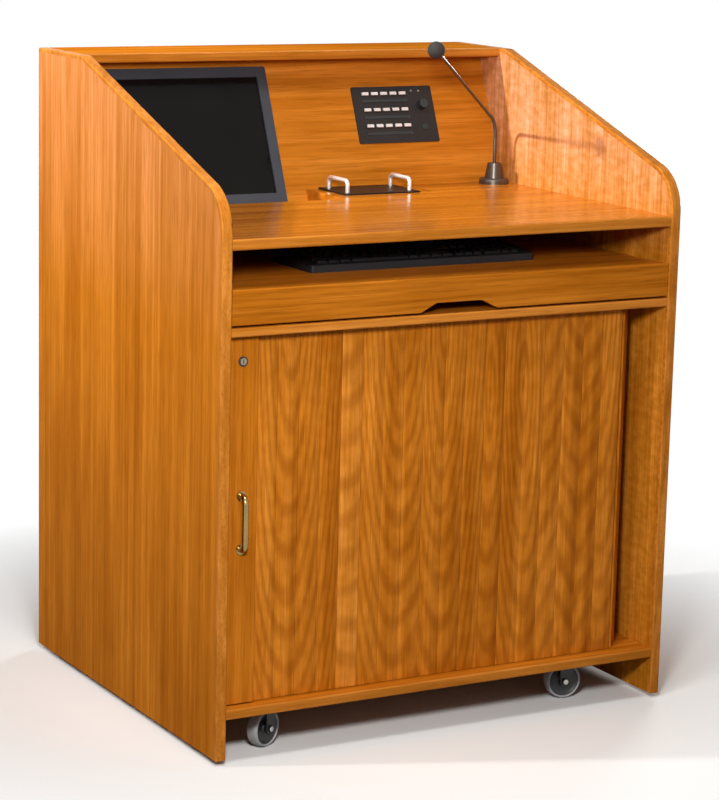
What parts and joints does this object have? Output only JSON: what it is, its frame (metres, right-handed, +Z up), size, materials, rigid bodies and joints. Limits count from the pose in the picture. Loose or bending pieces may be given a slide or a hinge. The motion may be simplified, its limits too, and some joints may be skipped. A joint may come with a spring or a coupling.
{
  "type": "multimedia lectern",
  "caption": "Oak multimedia lectern on castors: sloped sides, monitor and control panel above a desk, gooseneck microphone, pull-out keyboard tray and tambour door.",
  "frame": {"origin": "on the floor, under the centre of the footprint", "axes": "+Z up, -Y towards the user, +X to the user's right"},
  "size_m": [0.95, 0.804, 1.238],
  "materials": {
    "oak": "satin",
    "oak_solid": "satin",
    "canvas": "matte",
    "slide_steel": "satin",
    "dark_plastic": "matte",
    "screen_glass": "gloss",
    "black_metal": "satin",
    "zinc_steel": "satin",
    "brass": "gloss",
    "chrome": "gloss",
    "mic_tube": "satin",
    "mic_foam": "matte",
    "grey_plastic": "matte",
    "castor_tyre": "matte"
  },
  "bodies": {
    "cabinet": {"side_panel_left": "oak", "side_panel_right": "oak", "oak_lippings": "oak_solid", "top_cap": "oak", "desk_top": "oak", "instrument_panel": "oak", "back_panel": "oak", "bottom_board": "oak", "mid_shelf": "oak", "monitor_well": "oak", "tambour_slats": "oak_solid", "tambour_canvas": "canvas", "pocket_liner": "oak", "slide_outers": "slide_steel", "monitor_bezel": "dark_plastic", "monitor_screen": "screen_glass", "monitor_housing": "dark_plastic", "control_plate": "black_metal", "control_box": "black_metal", "mic_base": "black_metal", "mic_gooseneck": "black_metal", "castor_plates": "zinc_steel"},
    "door_stile": {"lead_stile": "oak_solid", "stile_handle": "brass", "lock_body": "brass"},
    "lock_plug": {"lock_plug": "brass"},
    "tray": {"tray_board": "oak", "tray_front": "oak_solid", "keyboard": "dark_plastic", "slide_inners": "slide_steel"},
    "slide_middles": {"slide_middles": "slide_steel"},
    "volume_knob": {"volume_knob": "dark_plastic"},
    "access_cover": {"access_plate": "black_metal", "access_handles": "chrome"},
    "microphone": {"mic_shaft": "mic_tube", "mic_head": "mic_foam"},
    "button_1_1": {"button_1_1": "grey_plastic"},
    "button_1_2": {"button_1_2": "grey_plastic"},
    "button_1_3": {"button_1_3": "grey_plastic"},
    "button_1_4": {"button_1_4": "grey_plastic"},
    "button_1_5": {"button_1_5": "grey_plastic"},
    "button_2_1": {"button_2_1": "grey_plastic"},
    "button_2_2": {"button_2_2": "grey_plastic"},
    "button_2_3": {"button_2_3": "grey_plastic"},
    "button_2_4": {"button_2_4": "grey_plastic"},
    "button_2_5": {"button_2_5": "grey_plastic"},
    "button_3_1": {"button_3_1": "grey_plastic"},
    "button_3_2": {"button_3_2": "grey_plastic"},
    "button_3_3": {"button_3_3": "grey_plastic"},
    "button_3_4": {"button_3_4": "grey_plastic"},
    "button_3_5": {"button_3_5": "grey_plastic"},
    "castor_fork_fl": {"castor_fork_fl": "zinc_steel"},
    "castor_wheel_fl": {"castor_wheel_fl": "castor_tyre"},
    "castor_fork_fr": {"castor_fork_fr": "zinc_steel"},
    "castor_wheel_fr": {"castor_wheel_fr": "castor_tyre"},
    "castor_fork_bl": {"castor_fork_bl": "zinc_steel"},
    "castor_wheel_bl": {"castor_wheel_bl": "castor_tyre"},
    "castor_fork_br": {"castor_fork_br": "zinc_steel"},
    "castor_wheel_br": {"castor_wheel_br": "castor_tyre"}
  },
  "joints": [
    {"name": "tray_slide", "type": "slide", "parent": "cabinet", "child": "tray", "axis": [0, -1, 0], "range_m": [0, 0.35]},
    {"name": "slide_middle", "type": "slide", "parent": "cabinet", "child": "slide_middles", "axis": [0, -1, 0], "range_m": [0, 0.175]},
    {"name": "tambour_slide", "type": "slide", "parent": "cabinet", "child": "door_stile", "axis": [1, 0, 0], "range_m": [0, 0.67], "deforming": ["tambour_slats", "tambour_canvas"]},
    {"name": "lock_turn", "type": "hinge", "parent": "door_stile", "child": "lock_plug", "pos_m": [-0.421, -0.378, 0.718], "axis": [0, 1, 0], "range_deg": [0, 90]},
    {"name": "access_lift", "type": "slide", "parent": "cabinet", "child": "access_cover", "axis": [0, 0, 1], "range_m": [0, 0.06]},
    {"name": "mic_bend", "type": "hinge", "parent": "cabinet", "child": "microphone", "pos_m": [0.412, 0.154, 1.057], "axis": [0.6281, -0.7782, 0], "range_deg": [-35, 20], "deforming": ["mic_gooseneck"]},
    {"name": "volume_turn", "type": "hinge", "parent": "cabinet", "child": "volume_knob", "pos_m": [0.294, 0.25174, 1.08546], "axis": [0, -0.9184, 0.3955], "range_deg": [-150, 150]},
    {"name": "press_1_1", "type": "slide", "parent": "cabinet", "child": "button_1_1", "axis": [0, 0.9184, -0.3955], "range_m": [0, 0.0012], "stiffness_N_per_m": 800, "springref_m": -0.0005},
    {"name": "press_1_2", "type": "slide", "parent": "cabinet", "child": "button_1_2", "axis": [0, 0.9184, -0.3955], "range_m": [0, 0.0012], "stiffness_N_per_m": 800, "springref_m": -0.0005},
    {"name": "press_1_3", "type": "slide", "parent": "cabinet", "child": "button_1_3", "axis": [0, 0.9184, -0.3955], "range_m": [0, 0.0012], "stiffness_N_per_m": 800, "springref_m": -0.0005},
    {"name": "press_1_4", "type": "slide", "parent": "cabinet", "child": "button_1_4", "axis": [0, 0.9184, -0.3955], "range_m": [0, 0.0012], "stiffness_N_per_m": 800, "springref_m": -0.0005},
    {"name": "press_1_5", "type": "slide", "parent": "cabinet", "child": "button_1_5", "axis": [0, 0.9184, -0.3955], "range_m": [0, 0.0012], "stiffness_N_per_m": 800, "springref_m": -0.0005},
    {"name": "press_2_1", "type": "slide", "parent": "cabinet", "child": "button_2_1", "axis": [0, 0.9184, -0.3955], "range_m": [0, 0.0012], "stiffness_N_per_m": 800, "springref_m": -0.0005},
    {"name": "press_2_2", "type": "slide", "parent": "cabinet", "child": "button_2_2", "axis": [0, 0.9184, -0.3955], "range_m": [0, 0.0012], "stiffness_N_per_m": 800, "springref_m": -0.0005},
    {"name": "press_2_3", "type": "slide", "parent": "cabinet", "child": "button_2_3", "axis": [0, 0.9184, -0.3955], "range_m": [0, 0.0012], "stiffness_N_per_m": 800, "springref_m": -0.0005},
    {"name": "press_2_4", "type": "slide", "parent": "cabinet", "child": "button_2_4", "axis": [0, 0.9184, -0.3955], "range_m": [0, 0.0012], "stiffness_N_per_m": 800, "springref_m": -0.0005},
    {"name": "press_2_5", "type": "slide", "parent": "cabinet", "child": "button_2_5", "axis": [0, 0.9184, -0.3955], "range_m": [0, 0.0012], "stiffness_N_per_m": 800, "springref_m": -0.0005},
    {"name": "press_3_1", "type": "slide", "parent": "cabinet", "child": "button_3_1", "axis": [0, 0.9184, -0.3955], "range_m": [0, 0.0012], "stiffness_N_per_m": 800, "springref_m": -0.0005},
    {"name": "press_3_2", "type": "slide", "parent": "cabinet", "child": "button_3_2", "axis": [0, 0.9184, -0.3955], "range_m": [0, 0.0012], "stiffness_N_per_m": 800, "springref_m": -0.0005},
    {"name": "press_3_3", "type": "slide", "parent": "cabinet", "child": "button_3_3", "axis": [0, 0.9184, -0.3955], "range_m": [0, 0.0012], "stiffness_N_per_m": 800, "springref_m": -0.0005},
    {"name": "press_3_4", "type": "slide", "parent": "cabinet", "child": "button_3_4", "axis": [0, 0.9184, -0.3955], "range_m": [0, 0.0012], "stiffness_N_per_m": 800, "springref_m": -0.0005},
    {"name": "press_3_5", "type": "slide", "parent": "cabinet", "child": "button_3_5", "axis": [0, 0.9184, -0.3955], "range_m": [0, 0.0012], "stiffness_N_per_m": 800, "springref_m": -0.0005},
    {"name": "swivel_fl", "type": "hinge", "parent": "cabinet", "child": "castor_fork_fl", "pos_m": [-0.327, -0.322, 0.076], "axis": [0, 0, 1], "continuous": true},
    {"name": "roll_fl", "type": "hinge", "parent": "castor_fork_fl", "child": "castor_wheel_fl", "pos_m": [-0.34595, -0.33104, 0.035], "axis": [0.4305, -0.9026, 0], "continuous": true},
    {"name": "swivel_fr", "type": "hinge", "parent": "cabinet", "child": "castor_fork_fr", "pos_m": [0.327, -0.322, 0.076], "axis": [0, 0, 1], "continuous": true},
    {"name": "roll_fr", "type": "hinge", "parent": "castor_fork_fr", "child": "castor_wheel_fr", "pos_m": [0.30632, -0.31835, 0.035], "axis": [-0.1736, -0.9848, 0], "continuous": true},
    {"name": "swivel_bl", "type": "hinge", "parent": "cabinet", "child": "castor_fork_bl", "pos_m": [-0.327, 0.307, 0.076], "axis": [0, 0, 1], "continuous": true},
    {"name": "roll_bl", "type": "hinge", "parent": "castor_fork_bl", "child": "castor_wheel_bl", "pos_m": [-0.34728, 0.31244, 0.035], "axis": [-0.2588, -0.9659, 0], "continuous": true},
    {"name": "swivel_br", "type": "hinge", "parent": "cabinet", "child": "castor_fork_br", "pos_m": [0.327, 0.307, 0.076], "axis": [0, 0, 1], "continuous": true},
    {"name": "roll_br", "type": "hinge", "parent": "castor_fork_br", "child": "castor_wheel_br", "pos_m": [0.30727, 0.29982, 0.035], "axis": [0.342, -0.9397, 0], "continuous": true}
  ],
  "couplings": [
    {"joint": "slide_middle", "follows": "tray_slide", "ratio": 0.5}
  ]
}
